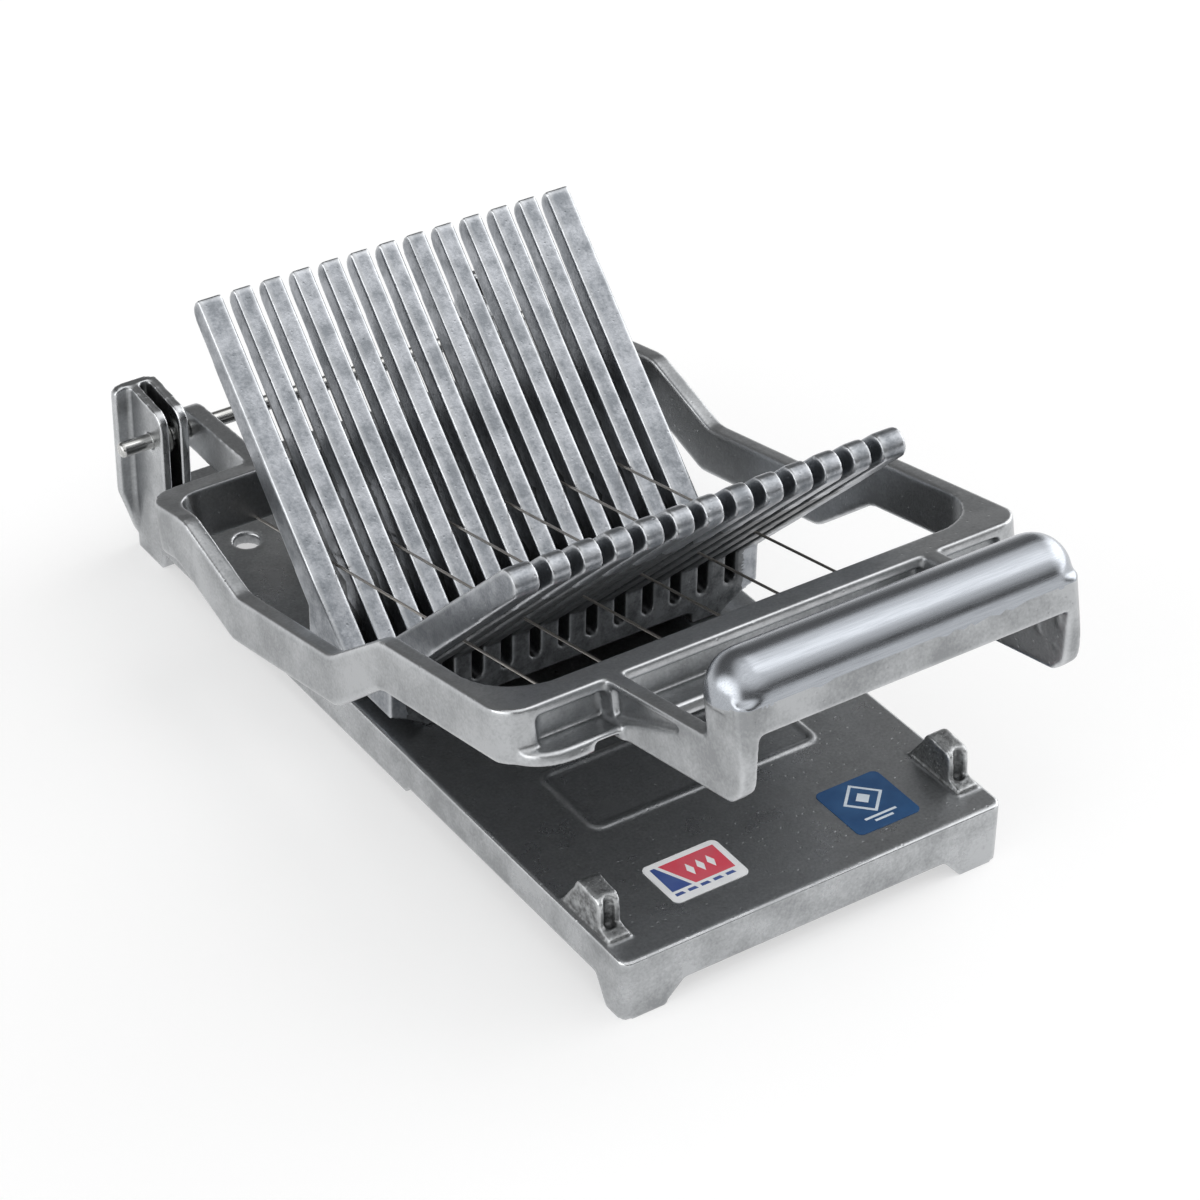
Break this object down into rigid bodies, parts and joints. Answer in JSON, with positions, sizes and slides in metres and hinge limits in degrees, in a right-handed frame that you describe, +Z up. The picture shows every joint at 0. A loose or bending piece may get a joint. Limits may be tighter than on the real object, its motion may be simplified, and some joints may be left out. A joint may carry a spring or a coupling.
{
  "type": "countertop wire slicer",
  "caption": "Cast aluminium wire slicer: a slotted V cradle on a base, cut through by wires strung in a hinged arm with a handle.",
  "frame": {"origin": "on the table, under the middle of the whole tool as it stands with its arm raised as in the picture", "axes": "+X to the user's right, +Y to the rear (the handle is at -Y), +Z up"},
  "size_m": [0.1656, 0.296, 0.1242],
  "materials": {
    "base_aluminium": "cast and tumbled, satin",
    "cradle_aluminium": "cast and tumbled, satin",
    "arm_aluminium": "cast and tumbled, polished handle",
    "stainless": "drawn bright",
    "wire_steel": "drawn wire",
    "label_print_red": "printed film",
    "label_print_blue": "printed film"
  },
  "bodies": {
    "base": {"base_casting": "base_aluminium", "cradle_casting": "cradle_aluminium", "hinge_rod": "stainless", "rod_clip_left": "stainless", "rod_clip_right": "stainless", "cradle_screw_1": "stainless", "cradle_screw_2": "stainless", "cradle_screw_3": "stainless", "cradle_screw_4": "stainless", "label_left": "label_print_red", "label_right": "label_print_blue"},
    "arm": {"arm_casting": "arm_aluminium", "wire_1": "wire_steel", "wire_2": "wire_steel", "wire_3": "wire_steel", "wire_4": "wire_steel", "wire_5": "wire_steel", "wire_6": "wire_steel", "wire_1_ferrule_rear": "stainless", "wire_1_ferrule_front": "stainless", "wire_2_ferrule_rear": "stainless", "wire_2_ferrule_front": "stainless", "wire_3_ferrule_rear": "stainless", "wire_3_ferrule_front": "stainless", "wire_4_ferrule_rear": "stainless", "wire_4_ferrule_front": "stainless", "wire_5_ferrule_rear": "stainless", "wire_5_ferrule_front": "stainless", "wire_6_ferrule_rear": "stainless", "wire_6_ferrule_front": "stainless"}
  },
  "joints": [
    {"name": "arm_hinge", "type": "hinge", "parent": "base", "child": "arm", "pos_m": [0, 0.1339, 0.0437], "axis": [-1, 0, 0], "range_deg": [-11.94, 78.06]}
  ]
}
